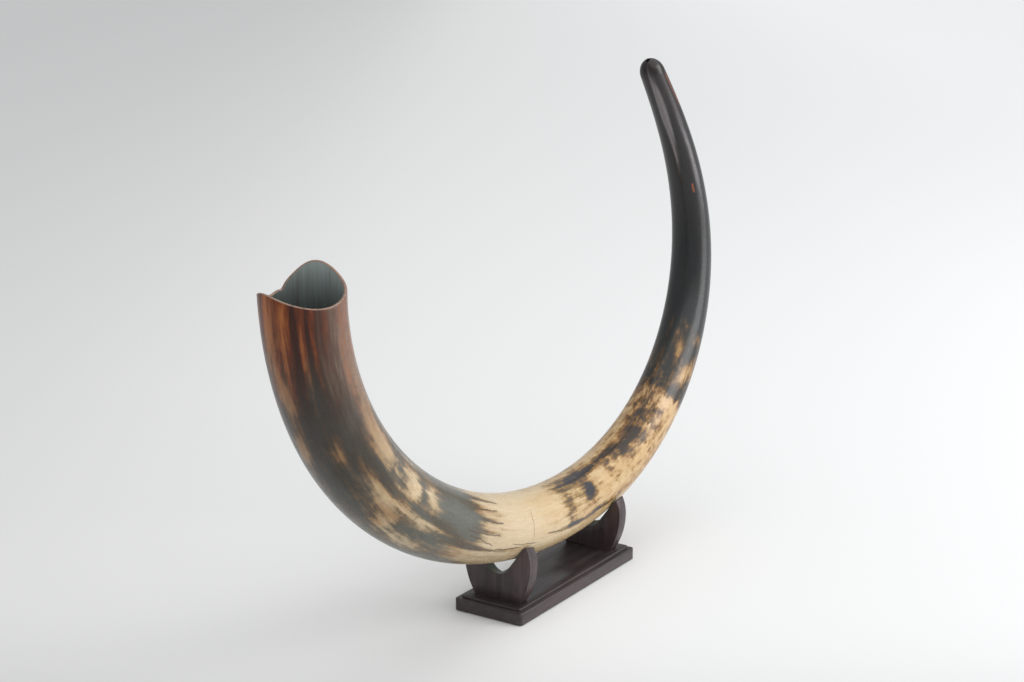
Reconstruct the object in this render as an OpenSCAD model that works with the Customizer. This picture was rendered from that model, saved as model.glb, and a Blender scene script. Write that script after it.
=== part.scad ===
// A polished ox-horn shofar resting in a small wooden stand.
// The horn is one hollow piece: a wide, wavy mouth, one long sweeping bend, and a solid tip with
// a drilled blow hole. It lies loose in two notched cradles that stand on a stepped base board.
// Origin: the middle of the stand's underside. +X runs along the stand to the tip's side, +Z is up.

/* [Horn] */
// Length of the horn along its centreline, from the rim to the tip
horn_length = 1226; // [900:2:1500]
// Outer diameter at the rim
rim_d = 70.5; // [50:0.5:90]
// Outer diameter a fifth of the way along, where the horn is fullest
bell_d = 76; // [55:0.5:95]
// Outer diameter two fifths of the way along
seat_d = 67; // [50:0.5:85]
// Outer diameter three fifths of the way along
middle_d = 57.5; // [45:0.5:75]
// Outer diameter four fifths of the way along
neck_d = 46; // [36:0.5:60]
// Outer diameter just behind the rounded tip
tip_d = 26.5; // [25:0.5:40]
// Length over which the tip is rounded off
tip_round = 17; // [8:0.5:30]
// Wall thickness at the rim
rim_wall = 2.8; // [2:0.1:5]
// Wall thickness at the closed end of the hollow
end_wall = 10.5; // [8:0.5:12]
// Length of solid horn between the hollow and the tip
tip_solid = 92; // [70:1:130]
// Diameter of the blow hole through the solid tip
blow_d = 4.5; // [3:0.1:6]
// Depth of the eased edge around the blow hole
blow_ease = 1; // [0.5:0.1:2]

/* [Bend of the horn] */
// Turn of the centreline at the rim, in degrees for each tenth of the length
turn_rim = 31; // [20:0.5:36]
// Turn a fifth of the way along
turn_bell = 17.5; // [10:0.5:24]
// Turn two fifths of the way along
turn_seat = 14; // [8:0.5:20]
// Turn three fifths of the way along
turn_middle = 22; // [14:0.5:28]
// Turn four fifths of the way along
turn_neck = 34; // [20:0.5:38]
// Turn at the tip
turn_tip = 1; // [0:0.5:12]
// Sideways offset of the tip from the upright plane through the stand
sway = 25; // [0:1:60]
// Half of the length of horn, over the stand, that has no sideways offset
sway_free = 98; // [95:1:150]

/* [Rim] */
// Heights of the rim's waves that repeat once, twice, three and four times around it
rim_waves = [6.2, 7.2, 3.3, 1]; // [0:0.1:9]
// Direction of a crest of each of those waves, in degrees from +Y towards +X
rim_crests = [83, 86, 60, 53]; // [-180:1:180]
// Distance that the pointed corner of the mouth stands out
corner_out = 2.5; // [0:0.1:6]
// Direction of the corner, in degrees from +Y towards +X
corner_at = -40; // [-180:1:180]
// Length of horn below the rim over which its waves and corner fade out
rim_fade = 130; // [90:1:200]

/* [How the horn lies] */
// Distance along the horn from the rim to the middle of the stand
seat_at = 550; // [520:1:580]
// Slope of the horn over the middle of the stand, in degrees
seat_slope = -2.3; // [-5:0.1:2]
// Gap between the base board and the horn over the middle of the stand
belly_gap = 29.2; // [20:0.5:40]
// Clearance between the resting horn and the felt at the middle of each cradle
seat_clear = 0.4; // [0.3:0.05:1]
// Smallest clearance at a cradle's faces, which opens the notch where the horn tapers fast
face_clear = 0.2; // [0.1:0.05:0.3]

/* [Base board] */
// Length of the base board
base_l = 224; // [212:1:280]
// Width of the base board
base_w = 80; // [72:1:110]
// Thickness of the base board
base_t = 15; // [14:0.5:22]
// Height of the step cut around the top edge
step_h = 2.7; // [1:0.1:5]
// Width of the step cut around the top edge
step_w = 4.5; // [1:0.1:8]
// Radius of the board's upright corners
corner_r = 3; // [1:0.5:6]
// Thickness of the felt sheet under the board
sheet_t = 1; // [0.6:0.1:2]
// Distance of the felt sheet from the board's edges
sheet_in = 2.5; // [1:0.5:6]

/* [Cradles] */
// Distance of each cradle's middle from the middle of the stand
cradle_x = 88; // [78:1:92]
// Thickness of a cradle along the stand
cradle_t = 14; // [12:0.5:18]
// Height of the two ears above the base board
ear_h = 58.5; // [54:0.5:62]
// Radius of the rounded ears
ear_r = 1.3; // [0.8:0.1:2]
// Slope of the ears' outer sides, in degrees from upright
ear_slope = 24; // [10:1:35]
// Height of the fullest width above the base board
full_h = 41; // [30:1:48]
// Distance that the bowed sides stand out beyond the middles of the ears
full_out = 4.9; // [3:0.1:8]
// Radius of the bowed sides below their fullest width
side_r = 75; // [70:1:200]
// Radius of the shoulders above the fullest width
shoulder_r = 40; // [32:1:80]
// Half of the angle between the two flanks of the notch
notch_half = 36.5; // [34:0.5:42]
// Radius of the rounded bottom of the notch
notch_r = 16.5; // [10:0.5:22]
// Thickness of the felt that lines the notch
liner_t = 0.8; // [0.5:0.1:2]
// Distance of the felt's upper ends below the middles of the ears
liner_drop = 0.5; // [0:0.1:5]

/* [Joints of the stand] */
// Width of the tenon under each cradle
tenon_w = 36; // [34:1:46]
// Thickness of the tenon
tenon_t = 8; // [7:0.5:10]
// Length of the tenon
tenon_h = 6; // [4:0.5:7]
// Clearance around the tenon in its mortise
tenon_clear = 0.15; // [0.05:0.05:0.4]
// Distance between the two screws of a cradle
screw_pitch = 24; // [18:1:26]
// Diameter of the screw's shank
screw_d = 3.5; // [3:0.1:4.5]
// Diameter of the screw's flat head
screw_head_d = 7; // [5.5:0.1:8]
// Length of the screw
screw_l = 30; // [26:1:34]
// Clearance around the shank in the base board
screw_clear = 0.3; // [0.1:0.05:0.6]
// Clearance around the shank in the cradle, where the thread grips
grip_clear = 0.05; // [0.02:0.01:0.1]
// Depth of the screw heads below the board's underside
head_sink = 0.5; // [0.2:0.1:1]

/* [Hidden] */
HORN_COLOR = "#7a5a3c";
WOOD_COLOR = "#4a3230";
FELT_COLOR = "#26352a";
STEEL_COLOR = "#b9b4a6";
$fn = 72;

// The centreline, as the share s of its length: 0 at the rim, 1 at the tip.
path_steps = 240;
turns = [turn_rim, turn_bell, turn_seat, turn_middle, turn_neck, turn_tip];
diameters = [rim_d, bell_d, seat_d, middle_d, neck_d, tip_d];
seat_s = seat_at / horn_length;
free_s = sway_free / horn_length;

// A smooth curve through evenly spaced values.
function spline(v, s) =
    let (last = len(v) - 1, x = min(max(s, 0), 1) * last, i = min(floor(x), last - 1), f = x - i,
         b = v[i], c = v[i + 1],
         a = i > 0 ? v[i - 1] : 2 * b - c,
         d = i < last - 1 ? v[i + 2] : 2 * c - b)
    b + f / 2 * (c - a + f * (2 * a - 5 * b + 4 * c - d + f * (3 * (b - c) + d - a)));

// Heading of the centreline in the upright plane: 0 points along +X, 90 points up.
turned = [for (i = 0, a = 0; i <= path_steps;
               a = a + 10 * spline(turns, (i + 0.5) / path_steps) / path_steps, i = i + 1)
          [i / path_steps, a]];
function heading(s) = seat_slope + lookup(s, turned) - lookup(seat_s, turned);

// Points [s, x, z] of the centreline, from an arbitrary start.
step_l = horn_length / path_steps;
walked = [for (i = 0, x = 0, z = 0; i <= path_steps;
               a = heading((i + 0.5) / path_steps), x = x + step_l * cos(a), z = z + step_l * sin(a),
               i = i + 1)
          [i / path_steps, x, z]];
x_table = [for (p = walked) [p[0], p[1]]];
z_table = [for (p = walked) [p[0], p[2]]];
base_top = sheet_t + base_t;
seat_z = base_top + belly_gap + spline(diameters, seat_s) / 2;
function line_x(s) = lookup(s, x_table) - lookup(seat_s, x_table);
function line_z(s) = lookup(s, z_table) - lookup(seat_s, z_table) + seat_z;

// Sideways, the mouth's end leaves the upright plane to -Y and the tip's end to +Y.
function past_free(s) = max(abs(s - seat_s) - free_s, 0) / (1 - seat_s - free_s);
function line_y(s) = sign(s - seat_s) * sway * pow(past_free(s), 2);
function yaw(s) = atan(2 * sway * past_free(s) / (1 - seat_s - free_s) / horn_length);

// Each cross-section has its own across and up directions, square to the centreline.
function centre(s) = [line_x(s), line_y(s), line_z(s)];
function along(s) = let (a = heading(s), y = yaw(s)) [cos(a) * cos(y), sin(y), sin(a) * cos(y)];
function across(s) = let (a = heading(s), y = yaw(s)) [-cos(a) * sin(y), cos(y), -sin(a) * sin(y)];
function up(s) = let (a = heading(s)) [-sin(a), 0, cos(a)];

// Outer surface: a tapering tube that ends in a rounded tip.
round_s = tip_round / horn_length;
function tip_shape(s) = let (t = min((1 - s) / round_s, 1)) sqrt(max(1 - (1 - t) * (1 - t), 0));
function outer_r(s) = spline(diameters, s) / 2 * tip_shape(s);

// Inner surface: the wall thickens slowly at first and more towards the tip.
hollow_s = 1 - tip_solid / horn_length;
wall_power = 2.2;
function wall(s) = rim_wall + (end_wall - rim_wall) * pow(s / hollow_s, wall_power);
function inner_r(s) = spline(diameters, s) / 2 - wall(s);

// The rim's waves move the mouth's end along the horn, and its corner leans outwards. Both fade out.
waves = [1, 2, 3, 4];
function rim_offset(angle) = [for (n = waves) rim_waves[n - 1] * cos(n * (angle - rim_crests[n - 1]))] * [1, 1, 1, 1];
corner_power = 8;
function corner(angle) = corner_out * pow(max(cos(angle - corner_at), 0), corner_power);
function fade(s) = pow(max(1 - s * horn_length / rim_fade, 0), 2);

// A ring of points around the centreline, pushed outwards by push beyond the rim.
sides = 36;
function ring(s, r, push = 0) =
    let (c = centre(s), w = along(s), u = across(s), v = up(s))
    [for (k = [0 : sides - 1]) let (angle = 360 * k / sides, reach = r + fade(s) * corner(angle))
     c + reach * (cos(angle) * u + sin(angle) * v) - (push + fade(s) * rim_offset(angle)) * w];

outer_rings = 54;
inner_rings = 40;
tip_rings = 5;
rim_crown = 1.1;
hollow_end = 5;
outer_list = concat(
    [for (i = [0 : outer_rings]) let (s = i / outer_rings * (1 - round_s)) ring(s, outer_r(s))],
    [for (j = [1 : tip_rings]) let (s = 1 - round_s * (1 - sin(90 * j / (tip_rings + 1)))) ring(s, outer_r(s))]);
inner_list = concat(
    [for (i = [inner_rings : -1 : 0]) let (s = i / inner_rings * hollow_s) ring(s, inner_r(s))],
    [ring(0, outer_r(0) - rim_wall * 0.68, rim_crown), ring(0, outer_r(0) - rim_wall * 0.32, rim_crown)]);
horn_rings = concat(inner_list, outer_list);
ring_count = len(horn_rings);
horn_points = concat([for (r = horn_rings) each r],
                     [centre(hollow_s) + hollow_end * along(hollow_s), centre(1)]);
function quad(a, b, c, d) = [[a, b, c], [a, c, d]];
horn_faces = concat(
    [for (i = [0 : ring_count - 2], k = [0 : sides - 1]) let (n = (k + 1) % sides)
     each quad(i * sides + k, i * sides + n, (i + 1) * sides + n, (i + 1) * sides + k)],
    [for (k = [0 : sides - 1]) let (n = (k + 1) % sides) [ring_count * sides, n, k]],
    [for (k = [0 : sides - 1]) let (n = (k + 1) % sides, i = (ring_count - 1) * sides)
     [ring_count * sides + 1, i + k, i + n]]);

// The blow hole runs straight back from the tip into the end of the hollow.
blow_reach = tip_solid + hollow_end;
blow_axis = along(1);

module on_blow_axis() {
    translate(centre(1)) rotate([0, 90 - asin(blow_axis[2]), atan2(blow_axis[1], blow_axis[0])]) children();
}

module horn() {
    color(HORN_COLOR) difference() {
        polyhedron(horn_points, horn_faces, convexity = 10);
        on_blow_axis() translate([0, 0, -blow_reach]) cylinder(d = blow_d, h = 2 * blow_reach);
        on_blow_axis() translate([0, 0, -2 * blow_ease])
            cylinder(d1 = blow_d - 2 * blow_ease, d2 = blow_d + 4 * blow_ease, h = 3 * blow_ease);
    }
}

// How the horn lies over a cradle.
level_part = [for (p = walked) if (abs(heading(p[0])) < 45) [line_x(p[0]), p[0]]];
function over(x) = lookup(x, level_part);

// Notch and ears are drawn around the horn's centre and square to its centreline, so that the horn
// touches the felt over the whole thickness of the cradle.
flank = [sin(notch_half), cos(notch_half)];
flank_out = [cos(notch_half), -sin(notch_half)];
function widest_r(x) = max(outer_r(over(x - cradle_t / 2)), outer_r(over(x + cradle_t / 2)));
function seat_r(x) = max(outer_r(over(x)) + seat_clear, widest_r(x) + face_clear) + liner_t;
ear_z = base_top + ear_h - ear_r;
function ear_reach(x) = (ear_z - centre(over(x))[2] + (seat_r(x) + ear_r) * sin(notch_half)) / cos(notch_half);
function ear_centre(x) = (seat_r(x) + ear_r) * flank_out + ear_reach(x) * flank;

// The inset is the felt's thickness for the felt's own surface and 0 for the wood.
module notch_outline(x, inset) {
    round_y = (notch_r - seat_r(x)) / sin(notch_half);
    touch = [0, round_y] + (notch_r - inset) * flank_out;
    top = touch + 3 * notch_r * flank;
    translate([0, round_y]) circle(notch_r - inset);
    polygon([touch, top, [-top[0], top[1]], [-touch[0], touch[1]]]);
}

// Everything below the rounded ears and between their sloping outer sides.
module ears_outline(x) {
    middle = ear_centre(x);
    inner = middle - ear_r * flank_out;
    outer = middle + ear_r * [cos(ear_slope), sin(ear_slope)];
    low = outer + 3 * ear_h * [sin(ear_slope), -cos(ear_slope)];
    root = inner - 2 * notch_r * flank;
    right = [root, inner, middle, outer, low];
    polygon(concat(right, [for (i = [len(right) - 1 : -1 : 0]) [-right[i][0], right[i][1]]]));
    for (side = [-1, 1]) translate([side * middle[0], middle[1]]) circle(ear_r);
}

module lying(x) {
    translate(centre(over(x))) rotate([0, -heading(over(x)), 0]) rotate([90, 0, 90])
        linear_extrude(3 * cradle_t, center = true) children();
}

// Upright outline of a cradle: bowed sides below and rounder shoulders above the fullest width.
full_z = base_top + full_h;
full_y = max(ear_centre(-cradle_x)[0], ear_centre(cradle_x)[0]) + full_out;

module bowed(r) {
    intersection_for(side = [-1, 1]) translate([side * (full_y - r), full_z]) circle(r);
}

module cradle_outline() {
    intersection() {
        bowed(side_r);
        translate([-full_y, base_top]) square([2 * full_y, full_h]);
    }
    intersection() {
        bowed(shoulder_r);
        translate([-full_y, full_z]) square([2 * full_y, shoulder_r]);
    }
}

module upright(x, t) {
    translate([x, 0, 0]) rotate([90, 0, 90]) linear_extrude(t, center = true) children();
}

module cradle(x) {
    difference() {
        union() {
            intersection() {
                upright(x, cradle_t) cradle_outline();
                lying(x) ears_outline(x);
            }
            translate([x - tenon_t / 2, -tenon_w / 2, base_top - tenon_h]) cube([tenon_t, tenon_w, tenon_h + 1]);
        }
        lying(x) notch_outline(x, 0);
        for (side = [-1, 1])
            translate([x, side * screw_pitch / 2, screw_z]) cylinder(d = screw_d + 2 * grip_clear, h = screw_l + 1);
    }
}

module liner(x) {
    felt_top = ear_centre(x)[1] - liner_drop;
    intersection() {
        upright(x, cradle_t) cradle_outline();
        lying(x) difference() {
            notch_outline(x, 0);
            notch_outline(x, liner_t);
            translate([-2 * full_y, felt_top]) square(4 * full_y);
        }
    }
}

// Wood screws come up from below, through the floor of the mortise.
screw_z = sheet_t + head_sink;
head_h = (screw_head_d - screw_d) / 2;
point_l = 6;
slot_w = 1;
slot_l = 4;

module screw(x, y) {
    color(STEEL_COLOR) translate([x, y, screw_z]) difference() {
        rotate_extrude() polygon([[0, 0], [screw_head_d / 2, 0], [screw_d / 2, head_h],
                                  [screw_d / 2, screw_l - point_l], [0, screw_l]]);
        for (turn = [0, 90]) rotate(turn) translate([-slot_l / 2, -slot_w / 2, -1]) cube([slot_l, slot_w, 2]);
    }
}

module rounded_plate(l, w, t) {
    linear_extrude(t) {
        square([l - 2 * corner_r, w], center = true);
        square([l, w - 2 * corner_r], center = true);
        for (a = [-1, 1], b = [-1, 1])
            translate([a * (l / 2 - corner_r), b * (w / 2 - corner_r)]) circle(corner_r);
    }
}

module base_board() {
    mortise = [tenon_t + 2 * tenon_clear, tenon_w + 2 * tenon_clear, tenon_h + 2 * tenon_clear];
    color(WOOD_COLOR) difference() {
        union() {
            translate([0, 0, sheet_t]) rounded_plate(base_l, base_w, base_t - step_h);
            translate([0, 0, sheet_t]) rounded_plate(base_l - 2 * step_w, base_w - 2 * step_w, base_t);
        }
        for (x = [-cradle_x, cradle_x]) {
            translate([x - mortise[0] / 2, -mortise[1] / 2, base_top - mortise[2]])
                cube([mortise[0], mortise[1], mortise[2] + 1]);
            for (side = [-1, 1]) translate([x, side * screw_pitch / 2, sheet_t]) {
                cylinder(d = screw_d + 2 * screw_clear, h = base_t);
                translate([0, 0, -1]) cylinder(d = screw_head_d + 2 * screw_clear, h = head_sink + 1);
                translate([0, 0, head_sink])
                    cylinder(d1 = screw_head_d + 2 * screw_clear, d2 = screw_d + 2 * screw_clear, h = head_h);
            }
        }
    }
}

module base_felt() {
    color(FELT_COLOR) rounded_plate(base_l - 2 * sheet_in, base_w - 2 * sheet_in, sheet_t);
}

module front_cradle() { color(WOOD_COLOR) cradle(-cradle_x); }
module rear_cradle() { color(WOOD_COLOR) cradle(cradle_x); }
module front_liner() { color(FELT_COLOR) liner(-cradle_x); }
module rear_liner() { color(FELT_COLOR) liner(cradle_x); }
module front_screw_1() { screw(-cradle_x, -screw_pitch / 2); }
module front_screw_2() { screw(-cradle_x, screw_pitch / 2); }
module rear_screw_1() { screw(cradle_x, -screw_pitch / 2); }
module rear_screw_2() { screw(cradle_x, screw_pitch / 2); }

horn();
base_board();
base_felt();
front_cradle();
rear_cradle();
front_liner();
rear_liner();
front_screw_1();
front_screw_2();
rear_screw_1();
rear_screw_2();
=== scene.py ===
# %% [markdown]
# # A polished ox-horn shofar in its wooden stand
# This script dresses a finished construction model in Blender. The construction gives every piece its
# size and place, and this file adds what makes the pieces look real: the horn's thin rounded rim, its
# pigment, the softened edges of the wood, the fuzz of the felt, and the light of a studio table.
#
# Each cell is one step, and the cell before it says what the step makes and why it is made that way.

import math

import bmesh
import bpy
import numpy as np
from mathutils import Matrix, Vector, noise


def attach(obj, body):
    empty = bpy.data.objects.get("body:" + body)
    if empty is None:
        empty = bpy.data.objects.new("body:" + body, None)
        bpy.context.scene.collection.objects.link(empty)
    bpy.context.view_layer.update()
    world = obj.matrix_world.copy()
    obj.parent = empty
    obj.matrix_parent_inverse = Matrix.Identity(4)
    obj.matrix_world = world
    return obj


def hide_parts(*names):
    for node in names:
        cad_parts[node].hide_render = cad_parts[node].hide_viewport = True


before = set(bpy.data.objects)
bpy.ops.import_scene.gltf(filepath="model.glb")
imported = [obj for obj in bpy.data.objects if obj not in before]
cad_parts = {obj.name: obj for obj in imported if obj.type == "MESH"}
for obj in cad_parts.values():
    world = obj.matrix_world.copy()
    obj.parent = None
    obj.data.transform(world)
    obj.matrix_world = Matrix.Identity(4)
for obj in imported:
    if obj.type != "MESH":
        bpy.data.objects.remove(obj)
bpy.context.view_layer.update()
MM = 0.001

# %% [markdown]
# ## Small helpers
# Colours are written as hex values of the screen, and one function turns them into the linear values
# that the renderer counts with. Another adds one shader node, with its settings and its links, so that
# each material below reads as a list of steps.


# %% Colours and nodes
def linear(colour):
    """A hex colour of the screen as linear red, green, blue and a full alpha."""
    parts = [int(colour[i : i + 2], 16) / 255 for i in (1, 3, 5)]
    return (*[c / 12.92 if c <= 0.04045 else ((c + 0.055) / 1.055) ** 2.4 for c in parts], 1.0)


def put(socket, value):
    """Gives a socket a value, or links another node's output to it."""
    if isinstance(value, bpy.types.NodeSocket):
        socket.id_data.links.new(value, socket)
    else:
        socket.default_value = value


def add(tree, kind, out=0, settings=None, **inputs):
    """Adds a node and returns one of its outputs. Inputs are given by name, with _ for a space, or as in0,
    in1 by their number."""
    node = tree.nodes.new("ShaderNode" + kind)
    for name, value in (settings or {}).items():
        setattr(node, name, value)
    for name, value in inputs.items():
        numbered = name[:2] == "in" and name[2:].isdigit()
        put(node.inputs[int(name[2:]) if numbered else name.replace("_", " ")], value)
    return node.outputs[out]


print("a mid grey of the screen is", round(linear("#808080")[0], 3), "in linear light")

# %% [markdown]
# ## Steps that the materials share
# These add the nodes that come up again and again.


# %% Steps of a material
def ramp(tree, factor, stops, blend="LINEAR"):
    """A colour ramp through (place, colour or number) stops."""
    out = add(tree, "ValToRGB", Fac=factor)
    band = out.node.color_ramp
    band.interpolation = blend
    while len(band.elements) < len(stops):
        band.elements.new(1.0)
    for element, (place, value) in zip(band.elements, stops):
        element.position = place
        element.color = linear(value) if isinstance(value, str) else (value, value, value, 1.0)
    return out


def mix(tree, factor, a, b, blend="MIX"):
    """Mixes two colours."""
    return add(tree, "Mix", out=2, settings={"data_type": "RGBA", "blend_type": blend},
               in0=factor, in6=a, in7=b)


def sums(tree, operation, a, b=0.0, c=0.0):
    """One step of arithmetic."""
    return add(tree, "Math", settings={"operation": operation}, in0=a, in1=b, in2=c)


def dot(tree, vector, direction):
    """How far a vector reaches in a direction."""
    return add(tree, "VectorMath", out=1, settings={"operation": "DOT_PRODUCT"}, in0=vector, in1=direction)


def fit(tree, value, low, high, to_low=0.0, to_high=1.0):
    """Moves the range from low to high onto another range, and holds what lies outside."""
    return add(tree, "MapRange", Value=value, From_Min=low, From_Max=high, To_Min=to_low, To_Max=to_high)


def stretched(tree, vector, sizes_mm):
    """Coordinates in which a pattern's cell has these three real sizes, in millimetres."""
    scale = [1 / (size * MM) for size in sizes_mm]
    return add(tree, "Mapping", Vector=vector, Scale=scale)


def clouds(tree, vector, detail=3.0, roughness=0.5):
    """Soft noise from about 0.2 to 0.8, one cell to a unit of its coordinates."""
    return add(tree, "TexNoise", Vector=vector, Scale=1.0, Detail=detail, Roughness=roughness)


def bump(tree, height, strength, depth_mm):
    """A surface direction tilted by a pattern of a real depth."""
    return add(tree, "Bump", Strength=strength, Distance=depth_mm * MM, Height=height)


print("steps: ramp, mix, sums, dot, fit, stretched, clouds and bump")

# %% [markdown]
# ## Helpers for materials and pieces
# Every material starts as one Principled shader. Every modelled piece ends in the same way: its bmesh
# becomes a mesh, and it is told which body it rides on and which material slot it fills.


# %% Materials and pieces
def new_material(name):
    """An empty material with a Principled shader, and its node tree."""
    material = bpy.data.materials.new(name)
    material.use_nodes = True
    tree = material.node_tree
    tree.nodes.clear()
    shader = tree.nodes.new("ShaderNodeBsdfPrincipled")
    output = tree.nodes.new("ShaderNodeOutputMaterial")
    tree.links.new(shader.outputs[0], output.inputs[0])
    return material, tree, shader


def surface(shader, **inputs):
    """Sets inputs of a Principled shader, by name, with _ for a space."""
    for name, value in inputs.items():
        put(shader.inputs[name.replace("_", " ")], value)


def grow(bm, edges):
    """Extrudes a line of edges, and returns the new points, the new line and the new faces."""
    grown = bmesh.ops.extrude_edge_only(bm, edges=edges)["geom"]
    points = [g for g in grown if isinstance(g, bmesh.types.BMVert)]
    new = set(points)
    line = [g for g in grown if isinstance(g, bmesh.types.BMEdge) and new.issuperset(g.verts)]
    return points, line, [g for g in grown if isinstance(g, bmesh.types.BMFace)]


def finish_piece(bm, name, material, body, smooth_below=40):
    """Makes a bmesh a piece that rides on a body, smooth where its edges are flatter than an angle."""
    mesh = bpy.data.meshes.new(name)
    bm.to_mesh(mesh)
    bm.free()
    for item in material if isinstance(material, list) else [material]:
        mesh.materials.append(item)
    piece = bpy.data.objects.new(name, mesh)
    bpy.context.scene.collection.objects.link(piece)
    mesh.polygons.foreach_set("use_smooth", [True] * len(mesh.polygons))
    mesh.set_sharp_from_angle(angle=math.radians(smooth_below))
    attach(piece, body)
    triangles = sum(len(p.vertices) - 2 for p in mesh.polygons)
    print(f"{name}: {len(mesh.vertices)} points, {triangles} triangles")
    return piece


# %% [markdown]
# ## The camera
# The picture is taken from the mouth's side, a little above the rim, with a short telephoto lens. The
# camera's three directions are its own right, up and backward, set as the columns of a matrix.

# %% Camera
CAMERA_AT = Vector((-1.4961, -0.9340, 0.7000))
CAMERA_RIGHT = Vector((0.54729, -0.83694, 0.0))
CAMERA_UP = Vector((0.20224, 0.13225, 0.97037))
lens = bpy.data.cameras.new("camera")
lens.lens = 63.28
lens.sensor_width = 36.0
camera = bpy.data.objects.new("camera", lens)
bpy.context.scene.collection.objects.link(camera)
turn = camera.matrix_world.to_3x3()
turn.col[0], turn.col[1], turn.col[2] = CAMERA_RIGHT, CAMERA_UP, CAMERA_RIGHT.cross(CAMERA_UP)
camera.matrix_world = turn.to_4x4()
camera.location = CAMERA_AT
bpy.context.scene.camera = camera
print("camera", [round(x, 3) for x in camera.location], "lens", lens.lens)

# %% [markdown]
# ## The studio
# Such a piece is shown on a wide pale sweep of paper. A glossy dark horn is shaped by what it mirrors.
# The paper's colour carries painted shade: it gets greyer to the left, standing in for the light
# falling off away from the box at the right, and greyer towards the front, which gives the dark and
# the amber parts something dark to mirror.

# %% Paper sweep
FLOOR_SIZE = 60.0
# painted shade on the paper: its colour at metres to the right, and how much darker it gets over 2 m to the
# front
SWEEP_PAINTED_SHADE = [(-2.6, "#c6c6c6"), (-1.4, "#cacaca"), (-0.75, "#d3d3d2"), (-0.3, "#e2e2e1"),
                (0.2, "#e6e7e7"), (0.8, "#ebecec"), (1.8, "#f6f7f8")]
FRONT_SHADE_REACH = 2.0
FRONT_PAINTED_SHADE = [(0.12, "#ffffff"), (0.42, "#cdcdcd"), (0.62, "#cfcfcf"), (1.0, "#d3d3d3")]
bm = bmesh.new()
bmesh.ops.create_grid(bm, x_segments=1, y_segments=1, size=FLOOR_SIZE / 2)
floor_mesh = bpy.data.meshes.new("floor")
bm.to_mesh(floor_mesh)
bm.free()
floor = bpy.data.objects.new("floor", floor_mesh)
bpy.context.scene.collection.objects.link(floor)
sweep_paper, tree, shader = new_material("matt_paper_sweep")
place = add(tree, "TexCoord", out=3)  # 3 gives the object's own coordinates, here and below
to_right = dot(tree, place, CAMERA_RIGHT)
# painted shade: the paper is greyer to the left and darker towards the front
first, last = SWEEP_PAINTED_SHADE[0][0], SWEEP_PAINTED_SHADE[-1][0]
shade = fit(tree, to_right, first, last)
paper = ramp(tree, shade, [((x - first) / (last - first), tint) for x, tint in SWEEP_PAINTED_SHADE], "B_SPLINE")
to_front = dot(tree, place, (CAMERA_RIGHT.y, -CAMERA_RIGHT.x, 0))
painted_front_shade = ramp(tree, sums(tree, "DIVIDE", to_front, FRONT_SHADE_REACH), FRONT_PAINTED_SHADE, "B_SPLINE")
surface(shader, Base_Color=mix(tree, 1.0, paper, painted_front_shade, "MULTIPLY"), Roughness=0.9, Specular_IOR_Level=0.2)
floor_mesh.materials.append(sweep_paper)
print("paper sweep", FLOOR_SIZE, "m wide, in", len(SWEEP_PAINTED_SHADE), "shades")

# %% [markdown]
# ## The lights
# The room itself gives a weak even light. The ceiling is a sun with a very wide angle, so that its
# shadows have no edge. One tall soft box at the right draws the long highlight down the neck.

# %% Room, ceiling and soft box
ROOM_COLOUR, ROOM_STRENGTH = (0.97, 0.985, 1.0, 1.0), 0.50
CEILING_STRENGTH, CEILING_SPREAD = 1.65, math.radians(100)
BOX_WIDTH, BOX_HEIGHT, BOX_POWER = 1.9, 2.5, 56
world = bpy.data.worlds.new("dim_room")
world.use_nodes = True
background = world.node_tree.nodes["Background"]
background.inputs[0].default_value, background.inputs[1].default_value = ROOM_COLOUR, ROOM_STRENGTH
bpy.context.scene.world = world
bpy.context.scene.view_settings.view_transform = "Standard"  # colours come out as they are chosen


def place_light(name, light, at, aim):
    """Puts a light at a point, turned to face another, and out of the camera's sight."""
    lamp = bpy.data.objects.new(name, light)
    lamp.location = at
    lamp.rotation_euler = (Vector(aim) - Vector(at)).to_track_quat("-Z", "Y").to_euler()
    lamp.visible_camera = False
    bpy.context.scene.collection.objects.link(lamp)


ceiling = bpy.data.lights.new("ceiling_light", "SUN")
ceiling.energy, ceiling.angle = CEILING_STRENGTH, CEILING_SPREAD
place_light("ceiling_light", ceiling, (0.0, -1.0, 2.0), (0, 0, 0))
box = bpy.data.lights.new("right_box", "AREA")
box.shape = "RECTANGLE"
box.size, box.size_y, box.energy = BOX_WIDTH, BOX_HEIGHT, BOX_POWER
place_light("right_box", box, (1.25, -2.70, 1.30), (0.05, 0.0, 0.30))
print("lights:", [light.name for light in bpy.data.lights])

# %% [markdown]
# ## The line that the horn follows
# The horn bends tighter at its mouth and neck than in the middle. Its centreline is walked in short
# steps: a smooth curve through six values says how fast it turns, and another how thick it is. These
# are the construction's own sizes and rules, so the new horn lies exactly where the old one did.

# %% Sizes of the horn
# in millimetres and degrees; a name that ends in _S is a share of the horn's length
HORN_LENGTH = 1226.0
DIAMETERS = (70.5, 76.0, 67.0, 57.5, 46.0, 26.5)  # from mouth to tip
TURNS = (31.0, 17.5, 14.0, 22.0, 34.0, 1.0)  # in a tenth of the length, from mouth to tip
SEAT_AT, SEAT_SLOPE, BELLY_GAP, SEAT_CLEAR = 550.0, -2.3, 29.2, 0.4
SWAY, SWAY_FREE = 25.0, 98.0
TIP_ROUND, TIP_SOLID, BLOW_D = 17.0, 92.0, 4.5
RIM_WALL, END_WALL, WALL_POWER, RIM_CROWN = 2.8, 10.5, 2.2, 1.1
RIM_WAVES, RIM_CRESTS, RIM_FADE = (6.2, 7.2, 3.3, 1.0), (83, 86, 60, 53), 130.0
CORNER_OUT, CORNER_AT, CORNER_POWER = 2.5, -40.0, 8
CHIP_DEPTH, CHIP_AT, CHIP_WIDTH = 2.8, 18.0, 5.0
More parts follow.
